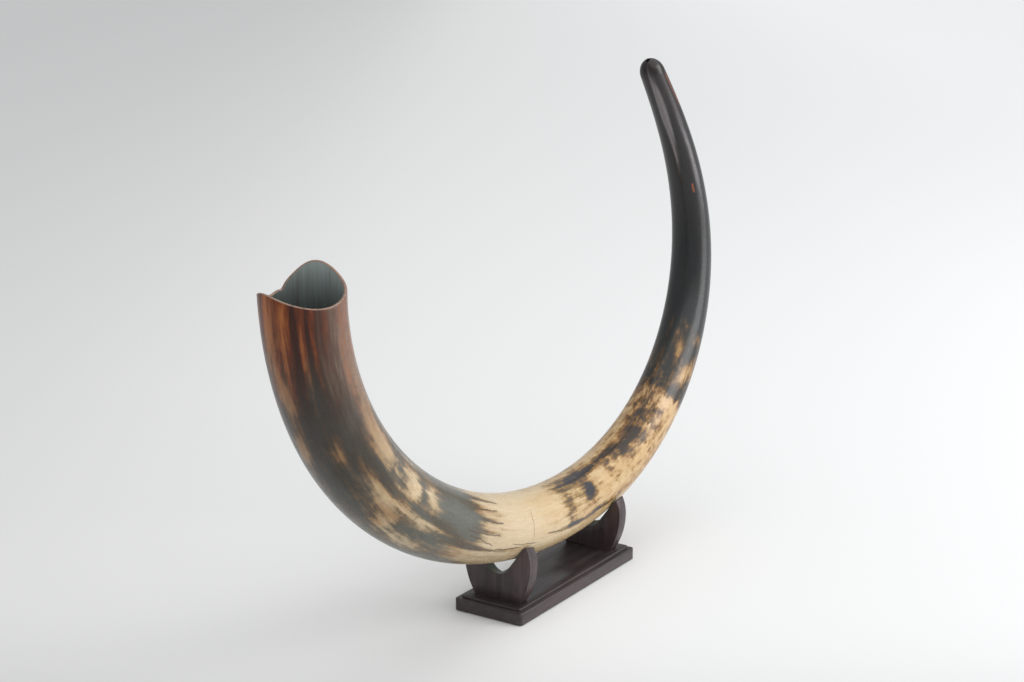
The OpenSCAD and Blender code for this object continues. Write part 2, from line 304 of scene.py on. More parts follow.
SHEET_T, BASE_T, BASE_L, BASE_W, STEP_H, STEP_W = 1.0, 15.0, 224.0, 80.0, 2.7, 4.5
BASE_TOP = SHEET_T + BASE_T
CRADLE_X, CRADLE_T = 88.0, 14.0
SEAT_S = SEAT_AT / HORN_LENGTH
FREE_S = SWAY_FREE / HORN_LENGTH
SWAY_S = 1 - SEAT_S - FREE_S
HOLLOW_S = 1 - TIP_SOLID / HORN_LENGTH
ROUND_S = TIP_ROUND / HORN_LENGTH


def spline(values, share):
    """A smooth curve through evenly spaced values, read at a share from 0 to 1."""
    last = len(values) - 1
    x = min(max(share, 0.0), 1.0) * last
    i = min(int(x), last - 1)
    f, b, c = x - i, values[i], values[i + 1]
    a = values[i - 1] if i > 0 else 2 * b - c
    d = values[i + 2] if i < last - 1 else 2 * c - b
    return b + f / 2 * (c - a + f * (2 * a - 5 * b + 4 * c - d + f * (3 * (b - c) + d - a)))


print("the horn turns", round(sum(10 * spline(TURNS, i / 99) for i in range(100)) / 100), "degrees in all")

# %% [markdown]
# ## Walking the centreline
# The horn is walked from its mouth to its tip. The turns of the steps are added up to slopes, and the
# slopes to places. Then the whole line is shifted so that its seat lies over the board, and past the
# stand it also sways sideways, which gives the horn its slight twist.

# %% Walk the centreline
STEPS = 240
shares = np.linspace(0, 1, STEPS + 1)
turn_of_step = [10 * spline(TURNS, (i + 0.5) / STEPS) / STEPS for i in range(STEPS)]
turned = np.concatenate([[0], np.cumsum(turn_of_step)])


def heading(share):
    """Slope of the centreline in the upright plane, in degrees."""
    return SEAT_SLOPE + np.interp(share, shares, turned) - np.interp(SEAT_S, shares, turned)


slopes = np.radians([heading((i + 0.5) / STEPS) for i in range(STEPS)])
walked_x = np.concatenate([[0], np.cumsum(np.cos(slopes))]) * HORN_LENGTH / STEPS
walked_z = np.concatenate([[0], np.cumsum(np.sin(slopes))]) * HORN_LENGTH / STEPS
SEAT_Z = BASE_TOP + BELLY_GAP + spline(DIAMETERS, SEAT_S) / 2


def past_stand(share):
    """How far a place lies past the straight part over the stand: 0 there, 1 at the tip."""
    return max(abs(share - SEAT_S) - FREE_S, 0) / SWAY_S


def centre(share):
    """A point of the centreline, in millimetres."""
    x, z = (np.interp(share, shares, w) - np.interp(SEAT_S, shares, w) for w in (walked_x, walked_z))
    return Vector((x, math.copysign(SWAY * past_stand(share) ** 2, share - SEAT_S), z + SEAT_Z))


def directions(share):
    """Along, across and up directions of the horn at a share of its length."""
    yaw = math.atan(2 * SWAY * past_stand(share) / SWAY_S / HORN_LENGTH)
    a = math.radians(heading(share))
    along = Vector((math.cos(a) * math.cos(yaw), math.sin(yaw), math.sin(a) * math.cos(yaw)))
    across = Vector((-math.cos(a) * math.sin(yaw), math.cos(yaw), -math.sin(a) * math.sin(yaw)))
    return along, across, Vector((-math.sin(a), 0, math.cos(a)))


def outer_radius(share):
    """Radius of the outside, closing to a round end at the tip."""
    t = min((1 - share) / ROUND_S, 1)
    return spline(DIAMETERS, share) / 2 * math.sqrt(max(1 - (1 - t) ** 2, 0))


def inner_radius(share):
    """Radius of the hollow, whose wall is thin at the rim and thick at its end."""
    return spline(DIAMETERS, share) / 2 - RIM_WALL - (END_WALL - RIM_WALL) * (share / HOLLOW_S) ** WALL_POWER


print("rim at", [round(x, 1) for x in centre(0)], "tip at", [round(x, 1) for x in centre(1)])

# %% [markdown]
# ## Growing the horn
# A real horn grows ring by ring, and so does this one. It starts as one circle of points at the bottom
# of the hollow. Its edges are extruded again and again, and each new ring is moved to its place: up the
# inside to the mouth, over the rounded rim, down the outside to the tip, into the blow hole, and back
# through it to where it began, where the last ring merges with the first. The result is one closed skin
# with a real wall and a real bore. Each point also remembers where it lies on a straightened horn, which
# is what the pigment needs later, because a pattern in plain space would not follow the bend.

# %% Rings of the horn
SIDES = 160
OUTER_RINGS, INNER_RINGS, RIM_RINGS, TIP_RINGS, BORE_RINGS = 280, 90, 8, 14, 14
BOTTOM_RINGS, BOTTOM_BULGE, BORE_SHORT = 6, 1.2, 3.3
FLUTE_DEPTH = 0.3
BORE_R = BLOW_D / 2
TIP_END, TIP_EASE, TIP_FLAT_R = 86.5, 0.96, 3.0
# radius and depth of the rings that ease the edge of the blow hole
HOLE_EDGE = ((2.85, 0.42), (2.6, 0.65), (2.4, 0.95), (2.29, 1.35), (BORE_R, 1.9))
HOLLOW, RIM, OUTSIDE = 0, 1, 2
tip, (tip_along, tip_across, tip_up) = centre(1), directions(1)


def ring_point(share, radius, push, angle, leave=0.0):
    """A point of a ring at a share of the length. push moves it out past the rim, leave keeps it off the
    curved surface. The mouth's waves and its corner fade away below the rim, and its chip much sooner."""
    fade = max(1 - share * HORN_LENGTH / RIM_FADE, 0) ** 2
    degrees = math.degrees(angle)
    wave = sum(h * math.cos(math.radians(n * (degrees - crest)))
               for n, (h, crest) in enumerate(zip(RIM_WAVES, RIM_CRESTS), 1))
    chip = CHIP_DEPTH * fade**6 * math.exp(-(((degrees - CHIP_AT + 180) % 360 - 180) / CHIP_WIDTH) ** 2)
    corner = CORNER_OUT * max(math.cos(angle - math.radians(CORNER_AT)), 0) ** CORNER_POWER
    along, across, up = directions(share)
    reach = radius + fade * corner - leave
    return (centre(share) + reach * (math.cos(angle) * across + math.sin(angle) * up)
            - (push + fade * wave - chip) * along)


def flutes(share, angle):
    """Depth of the shallow lengthwise waves that scraping and polishing leave on the outside."""
    at = Vector((1.3 * math.cos(angle), 1.3 * math.sin(angle), share * 7))
    return FLUTE_DEPTH * (0.5 + 0.5 * noise.noise(at)) * min(share / 0.02, 1)


def bore_point(depth, radius, angle):
    """A point around the straight blow hole, at a depth below the tip."""
    return tip - depth * tip_along + radius * (math.cos(angle) * tip_across + math.sin(angle) * tip_up)


print("blow hole at", [round(x, 1) for x in tip], "mm, radius", BORE_R)

# %% [markdown]
# ## Rules for the rings
# Each ring is a part of the surface, its share of the length, and a rule that gives a point for an angle.
# The loops follow the order of growing.

# %% Rules for the rings
rings = []
bore_start = TIP_SOLID - BORE_SHORT
for k in range(1, BOTTOM_RINGS + 1):  # the rounded bottom of the hollow, around the bore's end
    bend = math.radians(90 * k / BOTTOM_RINGS)
    rings.append((HOLLOW, HOLLOW_S, lambda a, sine=math.sin(bend), cosine=math.cos(bend): (
        bore_point(bore_start, BORE_R, a).lerp(ring_point(HOLLOW_S, inner_radius(HOLLOW_S), 0, a), sine)
        + (cosine + sine - 1) * BOTTOM_BULGE * tip_along)))
for i in range(INNER_RINGS - 1, -1, -1):
    s = i / INNER_RINGS * HOLLOW_S
    rings.append((HOLLOW, s, lambda a, s=s: ring_point(s, inner_radius(s), 0, a)))
for k in range(1, RIM_RINGS):
    bend = math.pi * k / RIM_RINGS
    in_wall = RIM_WALL / 2 * (1 + math.cos(bend))
    rings.append((RIM, 0.0, lambda a, w=in_wall, p=RIM_CROWN * math.sin(bend): (
        ring_point(0, outer_radius(0) - w, p, a))))
for i in range(OUTER_RINGS + 1):
    s = i / OUTER_RINGS * (1 - ROUND_S)
    rings.append((OUTSIDE, s, lambda a, s=s: ring_point(s, outer_radius(s), 0, a, flutes(s, a))))
for k in range(1, TIP_RINGS + 1):
    s = 1 - ROUND_S * (1 - math.sin(math.radians(TIP_END * k / TIP_RINGS)) ** TIP_EASE)
    rings.append((OUTSIDE, s, lambda a, s=s: ring_point(s, max(outer_radius(s), TIP_FLAT_R), 0, a,
                                                        flutes(s, a) * (1 - s) / ROUND_S)))
for radius, depth in HOLE_EDGE:
    rings.append((OUTSIDE, 1.0, lambda a, r=radius, d=depth: bore_point(d, r, a)))
bore_top = HOLE_EDGE[-1][1]
for k in range(1, BORE_RINGS + 1):
    depth = bore_top + (bore_start - bore_top) * k / BORE_RINGS
    rings.append((HOLLOW, 1.0, lambda a, d=depth: bore_point(d, BORE_R, a)))
print("rules for", len(rings), "rings of", SIDES, "points")

# %% [markdown]
# ## Extruding the rings
# Here the rules become a surface: the edges of a first circle are extruded once for every ring, and the
# new points move to where the ring's rule puts them. The last ring falls on the first, and they merge.

# %% Extrude the rings
bm = bmesh.new()
straight = bm.verts.layers.float_vector.new("straight")
around = bm.verts.layers.float.new("around")
MEAN_RADIUS = 35.0
circle = bmesh.ops.create_circle(bm, segments=SIDES, radius=1.0)["verts"]
for v in circle:
    v[around] = math.atan2(v.co.y, v.co.x)
    v.co = bore_point(bore_start, BORE_R, v[around]) * MM
loop = list(bm.edges)
for part, share, shape in rings:
    points, loop, faces = grow(bm, loop)
    for v in points:
        angle = v[around]
        v.co = shape(angle) * MM
        v[straight] = Vector((MEAN_RADIUS * math.cos(angle), MEAN_RADIUS * math.sin(angle),
                              share * HORN_LENGTH)) * MM
    for face in faces:
        face.material_index = part
bmesh.ops.remove_doubles(bm, verts=bm.verts, dist=0.005 * MM)
bmesh.ops.recalc_face_normals(bm, faces=bm.faces)
open_edges = [e for e in bm.edges if len(e.link_faces) != 2]
print("horn rings", len(rings), "faces", len(bm.faces), "open edges", len(open_edges))

# %% [markdown]
# ## Painting the pigment
# Ox horn is milky where it has no pigment and nearly black where it has much. The pigment lies in long
# patches with frayed ends. The large patches are listed here: each is an oval on the straightened horn,
# given by its place, its half length and half width and how much it darkens, with a minus where it is
# pale. The fine fraying comes later from noise in the material, so that it stays sharp in close views.
# The far side of the horn carries the same kinds of patches, turned and shifted.
# The pale streaks on the tip are painted highlights.

# %% Patches of pigment
# Base amount of pigment along the horn: (share of the length, amount). Above 0.6 it looks dark.
PIGMENT_ALONG = ((0.0, 0.66), (0.05, 0.70), (0.09, 0.88), (0.12, 0.84), (0.20, 0.78), (0.25, 0.92),
                 (0.285, 0.88), (0.315, 0.05), (0.35, -0.22), (0.41, -0.20), (0.44, 0.0), (0.50, 0.05),
                 (0.58, 0.18), (0.62, 0.22), (0.642, 0.22),
                 (0.654, 1.05), (0.70, 1.05), (0.73, 1.2), (0.76, 1.6), (1.0, 1.6))
# (share, degrees round the horn, half length mm, half width mm, darker or paler)
PATCHES = (
    # the brown end at the rim
    (0.025, 175, 50, 9, -0.18), (0.075, 158, 45, 12, -0.28), (0.045, 222, 55, 16, 0.30),
    (0.020, 213, 45, 3, 0.35), (0.030, 246, 50, 3, 0.40), (0.026, 236, 40, 2, -0.35),
    (0.030, 228, 45, 2, 0.30), (0.022, 221, 35, 2, -0.30), (0.020, 257, 25, 4, -0.25),
    (0.020, 287, 30, 12, -0.40), (0.045, 279, 12, 5, -0.35), (0.055, 236, 25, 3, -0.25),
    (0.008, 262, 8, 2.5, -0.60), (0.035, 190, 40, 2.5, 0.40), (0.050, 181, 30, 2, -0.25),
    (0.070, 196, 60, 3, 0.35),
    # grey with tan patches
    (0.118, 168, 28, 8, -0.78), (0.090, 160, 30, 6, -0.25), (0.141, 164, 20, 9, -0.60),
    (0.105, 195, 22, 3, 0.30), (0.088, 214, 22, 7, 0.35), (0.106, 226, 12, 6, -0.95),
    (0.118, 218, 14, 6, 0.30), (0.066, 274, 13, 6, -1.0), (0.108, 277, 12, 7, -1.15),
    (0.125, 243, 40, 9, 0.25), (0.150, 194, 34, 4, 0.45), (0.166, 212, 28, 8, -0.78),
    (0.150, 208, 12, 2, -0.35), (0.188, 236, 13, 8, -1.0), (0.189, 167, 8, 9, -1.00),
    (0.176, 160, 12, 9, -0.50), (0.204, 170, 5, 10, 0.35), (0.217, 164, 12, 9, -0.80),
    (0.228, 176, 10, 4, -0.35), (0.150, 150, 22, 10, 0.25), (0.216, 203, 32, 4, -0.68),
    (0.205, 219, 20, 6, 0.35), (0.224, 241, 22, 7, -0.75), (0.200, 190, 40, 3, 0.35),
    (0.160, 264, 60, 10, 0.15), (0.176, 187, 18, 3, -0.45),
    # the long dark patch and its fingers
    (0.258, 162, 34, 22, 0.40), (0.275, 135, 30, 10, 0.10), (0.284, 172, 16, 8, 0.30),
    (0.312, 181, 24, 1.2, 0.60), (0.312, 162, 20, 2.6, 0.62), (0.308, 143, 22, 1.4, 0.45),
    (0.318, 125, 26, 2.4, 0.55), (0.286, 193, 24, 1.6, 0.55), (0.250, 198, 50, 2, -0.35),
    (0.272, 204, 60, 1.4, 0.60), (0.330, 208, 50, 1.4, 0.75), (0.290, 216, 30, 4, -0.45),
    (0.292, 232, 22, 7, -0.70), (0.305, 245, 30, 5, 0.55), (0.270, 258, 20, 6, 0.60),
    (0.340, 253, 22, 4, 0.35), (0.345, 172, 20, 1.6, 0.40), (0.352, 158, 14, 1.5, 0.38),
    (0.372, 165, 10, 5, 0.20), (0.335, 150, 12, 1.6, 0.35), (0.360, 190, 16, 2, 0.30),
    (0.350, 224, 40, 7, 0.35),
    # cream with slate and brown marbling
    (0.384, 90, 12, 7, 0.38), (0.407, 87, 12, 8, 0.42), (0.405, 176, 16, 4, 0.30),
    (0.412, 190, 16, 2, 0.45), (0.476, 104, 30, 5, 0.70), (0.472, 108, 42, 14, 0.30),
    (0.445, 112, 16, 9, 0.32), (0.460, 122, 18, 4, 0.30), (0.482, 150, 8, 9, 0.85),
    (0.487, 138, 6, 6, 0.45), (0.480, 148, 18, 16, 0.34), (0.444, 160, 9, 12, 0.50),
    (0.447, 160, 16, 17, 0.25), (0.450, 190, 24, 2.4, 0.85), (0.492, 190, 22, 2.4, 0.85),
    (0.515, 132, 11, 13, -0.30), (0.515, 104, 26, 5, 0.85), (0.530, 124, 5, 6, 0.50),
    (0.532, 141, 4, 5, 0.35), (0.572, 114, 40, 18, 0.24), (0.548, 110, 12, 8, 0.55),
    (0.562, 122, 10, 7, 0.60), (0.578, 108, 13, 9, 0.58), (0.588, 122, 10, 9, 0.56),
    (0.604, 100, 10, 9, 0.50), (0.616, 114, 9, 8, 0.58), (0.630, 92, 9, 9, 0.40),
    (0.627, 130, 7, 7, 0.40), (0.610, 145, 4, 8, 0.50), (0.585, 148, 3.5, 6, 0.45),
    (0.563, 142, 5, 5, 0.40), (0.526, 150, 4, 8, 0.40), (0.570, 160, 14, 8, -0.15),
    (0.637, 158, 9, 14, -0.45), (0.550, 195, 60, 6, 0.20),
    # the dark neck with gold flecks
    (0.704, 120, 14, 6, -0.62), (0.697, 130, 8, 4, -0.45), (0.716, 110, 8, 3, -0.45),
    (0.672, 150, 9, 7, -0.60), (0.680, 168, 8, 8, -0.75), (0.717, 172, 7, 10, -0.80),
    (0.690, 185, 12, 5, -0.45), (0.725, 128, 4, 3, -0.75), (0.660, 110, 8, 10, -0.25),
    (0.685, 80, 14, 5, -0.40), (0.730, 90, 8, 4, -0.45), (0.695, 205, 14, 8, -0.50),
    # painted highlights: pale grey streaks on the tip that stand in for two soft reflections running down it
    (0.960, 112, 40, 5.6, -1.55), (0.935, 119, 40, 1.4, -0.80), (0.945, 106, 50, 1.4, -0.70),
    (0.905, 105, 26, 2.4, -1.10), (0.895, 164, 95, 4.5, -1.35),
)
# the far side repeats the patches between these two angles, mirrored round FAR_TURN / 2 and shifted along
FAR_FROM, FAR_TO, FAR_SHIFT, FAR_TURN = 125, 265, 0.013, 190
print(len(PATCHES), "patches on the near side,", sum(FAR_FROM < p[1] < FAR_TO for p in PATCHES), "repeated")

# %% [markdown]
# ## From patches to an amount
# The patches are added to the base amount, each fading out smoothly from its middle. The places are
# first pushed about by noise, slowly for the outlines and quickly along the fibres, so that no patch is
# a clean oval. The result is kept on the points as the attribute "pigment".

# %% Amount of pigment
WARP_MM, FRAY_MM = 8.0, 7.0  # how far the slow and the quick noise push
# the slow noise is read at two fixed places, because noise_vector would draw new ones in every run
ALONG_SHIFT, ROUND_SHIFT = Vector((3.3, 7.1, -4.2)), Vector((-8.6, 2.4, 9.9))


def warped(v):
    """A point of the straightened horn, shifted by cells of noise 30 mm wide, and along the fibres by cells
    5 mm wide and 80 mm long."""
    at = v[straight] / MM
    slow = Vector((at.x / 30, at.y / 30, at.z / 42))
    push = Vector((noise.noise(slow + ALONG_SHIFT), noise.noise(slow + ROUND_SHIFT)))
    fray = noise.noise(Vector((at.x / 5, at.y / 5, at.z / 80)))
    share = (at.z + WARP_MM * push.x + FRAY_MM * fray) / HORN_LENGTH
    return share, math.degrees(v[around] + 0.3 * WARP_MM * push.y / MEAN_RADIUS)


def pigment_amount(share, degrees):
    """Amount of pigment at points of the straightened horn, for arrays of shares and degrees."""
    amount = np.interp(share, *zip(*PIGMENT_ALONG))
    far = [(s + FAR_SHIFT, FAR_TURN - d, length, width, change) for s, d, length, width, change in PATCHES
           if FAR_FROM < d < FAR_TO]
    for s, d, length, width, change in (*PATCHES, *far):
        away = (degrees - d + 180) % 360 - 180
        across = np.radians(away) * spline(DIAMETERS, s) / 2 / width
        along = (share - s) * HORN_LENGTH / length
        amount = amount + change * 0.5 ** (across**2 + along**2)
    return amount


share_of, degrees_of = np.array([warped(v) for v in bm.verts]).T
amounts = pigment_amount(share_of, degrees_of)
pigment = bm.verts.layers.float.new("pigment")
for v, amount in zip(bm.verts, amounts):
    v[pigment] = float(amount)
print("pigment from", round(amounts.min(), 2), "to", round(amounts.max(), 2), "in", len(PATCHES), "patches")

# %% [markdown]
# ## Material: polished horn
# Horn is keratin, with a refractive index near 1.55, scraped and buffed to a soft gloss. Its fibres run
# lengthwise, so every pattern is stretched that way: streaks a few millimetres wide and tens of
# millimetres long fray the patches, finer fibres tint them, and a broad cloud shifts the colour zones.
# These helpers read the kept values, push with noise, and draw a fine line between two places.

# %% Helpers for the horn's patterns
def attribute(tree, name, out):
    """Reads values kept on the mesh's points: output 1 is a vector, 2 a number."""
    return add(tree, "Attribute", out=out, settings={"attribute_name": name})


def centred(tree, value, strength):
    """Noise turned into a push of plus or minus half its strength."""
    return sums(tree, "MULTIPLY", sums(tree, "SUBTRACT", value, 0.5), strength)


def towards(tree, where, x, y):
    """How much a point of the straightened horn lies towards a side of it, from -1 to 1."""
    return dot(tree, where, (x / (MEAN_RADIUS * MM), y / (MEAN_RADIUS * MM), 0))


def share_along(tree, where):
    """The share of the horn's length at a point of the straightened horn."""
    return sums(tree, "DIVIDE", add(tree, "SeparateXYZ", out=2, Vector=where), HORN_LENGTH * MM)


def crack(tree, where, wobble, start, end, width):
    """A fine line between two (share, degrees) places of the straightened horn, as a mask."""
    middle = math.radians((start[1] + end[1]) / 2)
    run = Vector((math.radians(end[1] - start[1]) * MEAN_RADIUS, (end[0] - start[0]) * HORN_LENGTH)) * MM
    half, (tx, tz) = run.length / 2, run.normalized()
    facing = dot(tree, where, (math.cos(middle), math.sin(middle), 0))
    beside = dot(tree, where, (-math.sin(middle), math.cos(middle), 0))
    u = sums(tree, "MULTIPLY", sums(tree, "ARCTAN2", beside, facing), MEAN_RADIUS * MM)
    v = sums(tree, "SUBTRACT", add(tree, "SeparateXYZ", out=2, Vector=where),
             (start[0] + end[0]) / 2 * HORN_LENGTH * MM)
    far_along = sums(tree, "ABSOLUTE", sums(tree, "MULTIPLY_ADD", u, tx, sums(tree, "MULTIPLY", v, tz)))
    beside_line = sums(tree, "MULTIPLY_ADD", u, tz, sums(tree, "MULTIPLY", v, -tx))
    off = sums(tree, "ABSOLUTE", sums(tree, "ADD", wobble, beside_line))
    line = fit(tree, off, width * MM / 2, width * MM, 1.0, 0.0)
    inside = fit(tree, far_along, half * 0.8, half, 1.0, 0.0)
    return sums(tree, "MULTIPLY", line, inside)


print("a hairline 0.5 mm wide is", 0.5 * MM, "m wide in the material")

# %% [markdown]
# ## The horn's patterns
# Four kinds of noise are stretched along the fibres by different amounts. The streaks, the fibres and
# the mottle are added to the painted amount of pigment. Two ramps say how much of each shows at each
# share of the length: the mouth end is streaky, and the part before the neck is marbled.

# %% Patterns of the horn
polished_horn, tree, shader = new_material("polished_ox_horn")
where = attribute(tree, "straight", 1)
amount = attribute(tree, "pigment", 2)
streaks = clouds(tree, stretched(tree, where, (3.4, 3.4, 42)), 5.0, 0.62)
fibres = clouds(tree, stretched(tree, where, (0.9, 0.9, 12)), 3.0, 0.6)
mottle = clouds(tree, stretched(tree, where, (8, 8, 11)), 5.0, 0.66)
broad = clouds(tree, stretched(tree, where, (16, 16, 60)), 2.0, 0.5)
length_share = share_along(tree, where)
zone = sums(tree, "ADD", length_share,
            sums(tree, "ADD", centred(tree, broad, 0.10), centred(tree, streaks, 0.05)))
fraying = ramp(tree, length_share, [
    (0.0, 0.95), (0.07, 0.9), (0.12, 1.0), (0.30, 0.95), (0.34, 0.8), (0.42, 0.8), (0.46, 0.8),
    (0.65, 0.55), (0.73, 0.5),
])
marbling = ramp(tree, length_share, [
    (0.0, 0.15), (0.10, 0.5), (0.20, 0.6), (0.31, 0.3), (0.41, 0.3), (0.46, 0.6), (0.56, 0.85),
    (0.64, 0.9), (0.72, 0.7), (0.80, 0.2),
])
frayed = sums(tree, "MULTIPLY_ADD", centred(tree, streaks, 2.0), fraying, amount)
frayed = sums(tree, "MULTIPLY_ADD", centred(tree, fibres, 0.8), fraying, frayed)
frayed = sums(tree, "MULTIPLY_ADD", centred(tree, mottle, 2.4), marbling, frayed)
print("patterns of", polished_horn.name, "use", len(tree.nodes), "nodes")

# %% [markdown]
# ## The horn's colours
# The amount of pigment picks between a pale colour, a brown one for the fringe of a patch, and a dark
# one. Each of them changes along the length. The bend near the mouth has a warm cast in places, and the
# inner side near the rim carries a painted sheen, a soft grey-brown that stands in for a broad matt
# highlight.

# %% Colours of the horn
# from 0.8 of the length on, pale and fringe are the greys of the painted highlights on the tip
pale = ramp(tree, zone, [
    (0.0, "#b96d35"), (0.04, "#b0703f"), (0.08, "#a07d5a"), (0.14, "#b99e76"), (0.19, "#d2bb96"),
    (0.33, "#cdba9a"), (0.44, "#d1ba93"), (0.56, "#ccad7e"), (0.64, "#d0b083"), (0.68, "#ae8753"),
    (0.74, "#7a5634"), (0.80, "#5d5452"), (0.86, "#868286"),
])
fringe = ramp(tree, zone, [
    (0.0, "#803a10"), (0.04, "#7a3c18"), (0.08, "#694e38"), (0.14, "#79654b"), (0.20, "#877355"),
    (0.30, "#a58d66"), (0.45, "#9a7a4a"), (0.55, "#9a713a"), (0.63, "#8e6632"), (0.70, "#5e472c"),
    (0.78, "#332d2c"), (0.86, "#4a474a"),
])
dark = ramp(tree, zone, [
    (0.0, "#3a1305"), (0.035, "#3c1808"), (0.065, "#3a2a20"), (0.10, "#42403b"), (0.15, "#46453f"),
    (0.22, "#585950"), (0.28, "#5c5d54"), (0.315, "#584a3b"), (0.42, "#463d35"), (0.45, "#3b3c42"),
    (0.50, "#38363a"), (0.54, "#33281f"), (0.62, "#2e2117"), (0.67, "#242521"), (0.74, "#232628"),
    (0.88, "#232224"), (1.0, "#241b1b"),
])
to_fringe = ramp(tree, frayed, [(0.02, 0.0), (0.26, 0.35), (0.56, 1.0)])
to_dark = ramp(tree, frayed, [(0.46, 0.0), (0.72, 0.55), (1.0, 1.0)])
colour = mix(tree, to_dark, mix(tree, to_fringe, pale, fringe), dark)
grain = ramp(tree, length_share, [(0.0, 0.5), (0.30, 0.45), (0.34, 0.25), (0.65, 0.25), (0.75, 0.4)])
colour = mix(tree, grain, colour, ramp(tree, fibres, [(0.3, "#8c8681"), (0.66, "#ffffff")]), "MULTIPLY")
# painted sheen: a soft grey-brown on the inner side near the rim, standing in for a broad matt highlight
near_rim = ramp(tree, length_share, [(0.0, 0.4), (0.05, 0.5), (0.08, 0.2), (0.12, 0.0)])
inner_side = fit(tree, towards(tree, where, -1.0, 0.15), 0.65, 0.95)
painted_rim_sheen = ramp(tree, streaks, [(0.36, "#4f3c30"), (0.5, "#705a49"), (0.64, "#927c68")])
colour = mix(tree, sums(tree, "MULTIPLY", inner_side, near_rim), colour, painted_rim_sheen)
warmth = ramp(tree, length_share, [
    (0.06, 0.0), (0.10, 0.85), (0.28, 0.85), (0.33, 0.15), (0.45, 0.25), (0.65, 0.3),
])
colour = mix(tree, warmth, colour, ramp(tree, broad, [(0.44, "#ffffff"), (0.62, "#dcc0a0")]), "MULTIPLY")
print("colours and patterns use", len(tree.nodes), "nodes")

# %% [markdown]
# ## Hairlines, amber spots and gloss
# Fine lines show where the dried horn has checked. Each is given by its start, its end and its width in
# millimetres. Two amber spots, with a strength, shine through the black of the tip.

# %% Hairlines, spots and gloss
CRACKS = (
    ((0.3815, 142), (0.3840, 190), 0.45), ((0.284, 189), (0.304, 191), 1.0),
    ((0.302, 191), (0.324, 200), 0.6), ((0.265, 211), (0.372, 204), 1.0),
    ((0.352, 196), (0.392, 201), 0.6), ((0.292, 126), (0.337, 128), 1.0),
    ((0.295, 144), (0.330, 143), 0.7), ((0.298, 161), (0.336, 163), 1.0),
    ((0.278, 182), (0.334, 183), 0.9), ((0.405, 188), (0.440, 193), 0.8),
)
SPOTS = (((0.862, 141), (0.872, 141), 2.4, 0.7), ((0.945, 200), (0.985, 188), 5.0, 0.4))
wobble = centred(tree, clouds(tree, stretched(tree, where, (14, 14, 14)), 3.0, 0.6), 5 * MM)
lines = 0.0
for start, end, width in CRACKS:
    lines = sums(tree, "MAXIMUM", crack(tree, where, wobble, start, end, width), lines)
colour = mix(tree, sums(tree, "MULTIPLY", lines, 0.85), colour, linear("#4a3a2a"))
for start, end, width, strength in SPOTS:
    spot = sums(tree, "MULTIPLY", crack(tree, where, wobble, start, end, width), strength)
    colour = mix(tree, spot, colour, linear("#96512e"))
# a worn polish mirrors a little less than keratin's index of 1.55 would, and has fine scratches
surface(shader, Base_Color=colour, Roughness=ramp(tree, mottle, [(0.25, 0.22), (0.8, 0.34)]), IOR=1.49,
        Normal=bump(tree, fibres, 0.25, 0.05))
print(polished_horn.name, "has", len(tree.nodes), "nodes,", len(CRACKS), "hairlines and", len(SPOTS), "spots")

# %% [markdown]
# ## Materials: the cut rim and the hollow
# The rim is sawn and sanded, so it shows raw, paler keratin with a satin face. The hollow was never
# buffed: it is a cool slate grey with long soft streaks, duller than the outside. Its colour carries
# painted shade: darker deeper in, and darker towards one side of the hollow.

# %% Cut rim and hollow
cut_rim, tree, shader = new_material("sanded_horn_rim")
where = attribute(tree, "straight", 1)
grain = clouds(tree, stretched(tree, where, (5, 5, 3)), 3.0, 0.6)
surface(shader, Base_Color=ramp(tree, grain, [(0.3, "#6a5144"), (0.5, "#917868"), (0.7, "#7d6252")]),
        Roughness=0.5, IOR=1.55, Normal=bump(tree, grain, 0.3, 0.1))

hollow_wall, tree, shader = new_material("raw_horn_hollow")
where = attribute(tree, "straight", 1)
lines = clouds(tree, stretched(tree, where, (4, 4, 60)), 4.0, 0.55)
length_share = share_along(tree, where)
# painted shade: darker deeper into the hollow
painted_depth_shade = ramp(tree, length_share, [(0.0, "#ffffff"), (0.03, "#adadad"), (0.08, "#828280"), (0.3, "#68645e")])
raw = ramp(tree, lines, [(0.25, "#8a8981"), (0.45, "#98a3a0"), (0.8, "#a8b2af")])
# painted shade: darker towards one side of the hollow
low_corner = sums(tree, "ADD", towards(tree, where, 0.25, -0.43), 0.5)
painted_side_shade = ramp(tree, low_corner, [(0.15, "#ffffff"), (0.45, "#cfd0ce"), (0.7, "#8f908e"), (0.95, "#626260")])
raw = mix(tree, 1.0, raw, painted_side_shade, "MULTIPLY")
surface(shader, Base_Color=mix(tree, 1.0, raw, painted_depth_shade, "MULTIPLY"), Roughness=0.55, IOR=1.55,
        Normal=bump(tree, lines, 0.4, 0.3))

horn = finish_piece(bm, "horn_body", [hollow_wall, cut_rim, polished_horn], "horn", 60)
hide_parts("horn")
print("horn materials:", [m.name for m in horn.data.materials])

# %% [markdown]
# ## Material: stained wood
# The stand is a close-grained hardwood, stained almost black with a trace of red, under a satin
# lacquer. Its pores are dark lines 0.3 mm wide and up to 20 mm long; they are drawn 1 mm wide here so
# that they show. The grain runs along the board and up the cradles, as a joiner would cut them.


